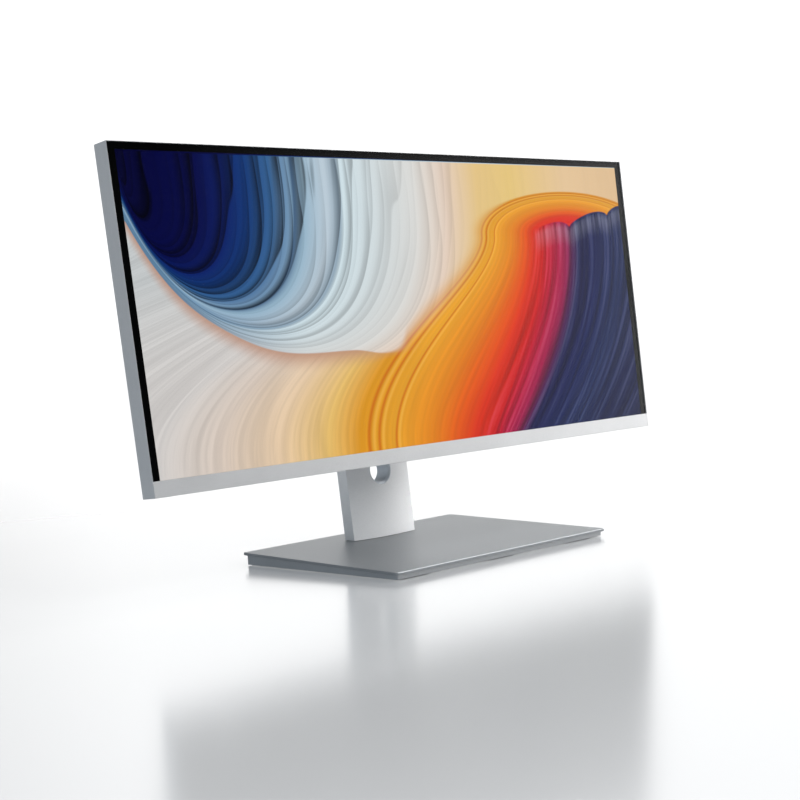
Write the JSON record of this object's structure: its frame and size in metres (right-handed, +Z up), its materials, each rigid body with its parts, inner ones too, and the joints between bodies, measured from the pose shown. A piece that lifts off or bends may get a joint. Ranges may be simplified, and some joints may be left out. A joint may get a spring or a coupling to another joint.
{
  "type": "computer monitor",
  "caption": "Wide flat desk monitor with thin borders and a silver chin, on a flat rectangular foot and a leaning column with a cable hole; it tilts, rises and swivels.",
  "frame": {"origin": "centre of the foot print on the desk", "axes": "+X right as seen by the user, +Y from the screen to the back, +Z up; the screen faces -Y"},
  "size_m": [0.817, 0.264, 0.469],
  "materials": {
    "frame_metal": "satin, fine blasted anodised silver",
    "base_metal": "satin mid grey anodised",
    "tray_metal": "satin grey",
    "cover_glass": "clear, glossy",
    "border_print": "gloss black",
    "lcd_glass": "laminated display glass",
    "optical_film": "white diffusing film",
    "acrylic": "clear acrylic",
    "steel": "zinc plated pressed steel",
    "rear_plastic": "fine textured silver grey plastic",
    "dark_plastic": "fine matt black",
    "guide_plastic": "slick natural acetal",
    "rubber": "matt black rubber",
    "board": "green solder mask",
    "socket_metal": "plated socket shell",
    "brass": "machined brass",
    "dark_steel": "black oxide steel",
    "lamp_lens": "clear light pipe"
  },
  "bodies": {
    "base": {"base_top_plate": "base_metal", "base_tray": "tray_metal", "ballast_plate": "steel", "rubber_feet": "rubber", "base_screws": "dark_steel", "swivel_bearing_plate": "steel", "swivel_bushing": "guide_plastic"},
    "column": {"column_cover": "frame_metal", "column_rear_cover": "frame_metal", "column_foot": "frame_metal", "column_rail": "steel", "rail_screws": "dark_steel", "column_cap": "frame_metal", "cable_hole_liner": "frame_metal", "swivel_shaft": "dark_steel", "swivel_washer": "guide_plastic", "swivel_nut": "dark_steel", "gas_spring_cylinders": "dark_steel"},
    "carriage": {"gas_spring_rods": "steel", "carriage_plate": "steel", "guide_pads": "guide_plastic", "carriage_arm": "frame_metal", "arm_screws": "dark_steel"},
    "head": {"tilt_bracket": "dark_steel", "tilt_pin": "steel", "tilt_nut": "steel", "tilt_friction_discs": "brass", "bracket_screws": "dark_steel", "side_frame": "frame_metal", "chin_trim": "frame_metal", "front_glass": "cover_glass", "border_mask": "border_print", "lcd_cell": "lcd_glass", "diffuser_films": "optical_film", "light_guide": "acrylic", "reflector_sheet": "optical_film", "led_strip": "board", "panel_chassis": "steel", "rear_cover": "rear_plastic", "cover_screws": "dark_steel", "mounting_frame": "steel", "main_board": "board", "heat_sink": "frame_metal", "driver_board": "board", "board_standoffs": "brass", "timing_board": "board", "hdmi_sockets": "socket_metal", "displayport_socket": "socket_metal", "usb_c_socket": "socket_metal", "usb_a_sockets": "socket_metal", "power_inlet": "dark_plastic", "audio_jack": "dark_plastic", "speakers": "dark_plastic", "status_light_pipe": "lamp_lens", "lock_slot_plate": "steel", "control_board": "board"},
    "joystick_ring": {"joystick_gimbal": "guide_plastic"},
    "joystick_stick": {"joystick_stem": "guide_plastic"},
    "joystick_knob": {"joystick_cap": "dark_plastic"},
    "power_key": {"power_button": "dark_plastic"}
  },
  "joints": [
    {"name": "swivel", "type": "hinge", "parent": "base", "child": "column", "pos_m": [0, 0.079, 0.01449], "axis": [0, -0.0246, 0.9997], "range_deg": [-30, 30]},
    {"name": "height", "type": "slide", "parent": "column", "child": "carriage", "axis": [0, 0.0793, 0.9968], "range_m": [-0.05, 0.08]},
    {"name": "tilt", "type": "hinge", "parent": "carriage", "child": "head", "pos_m": [0, 0.05513, 0.28771], "axis": [-1, 0, 0], "range_deg": [-9.8, 16.1]},
    {"name": "joystick_up_down", "type": "hinge", "parent": "head", "child": "joystick_ring", "pos_m": [0.33, -0.01283, 0.14496], "axis": [1, 0, 0], "range_deg": [-10, 10], "stiffness_Nm_per_rad": 0.05},
    {"name": "joystick_left_right", "type": "hinge", "parent": "joystick_ring", "child": "joystick_stick", "pos_m": [0.33, -0.01283, 0.14496], "axis": [0, 0.0849, 0.9964], "range_deg": [-10, 10], "stiffness_Nm_per_rad": 0.05},
    {"name": "joystick_press", "type": "slide", "parent": "joystick_stick", "child": "joystick_knob", "axis": [0, -0.9964, 0.0849], "range_m": [0, 0.0008], "stiffness_N_per_m": 1500},
    {"name": "power_press", "type": "slide", "parent": "head", "child": "power_key", "axis": [0, -0.9964, 0.0849], "range_m": [0, 0.001], "stiffness_N_per_m": 1500}
  ]
}
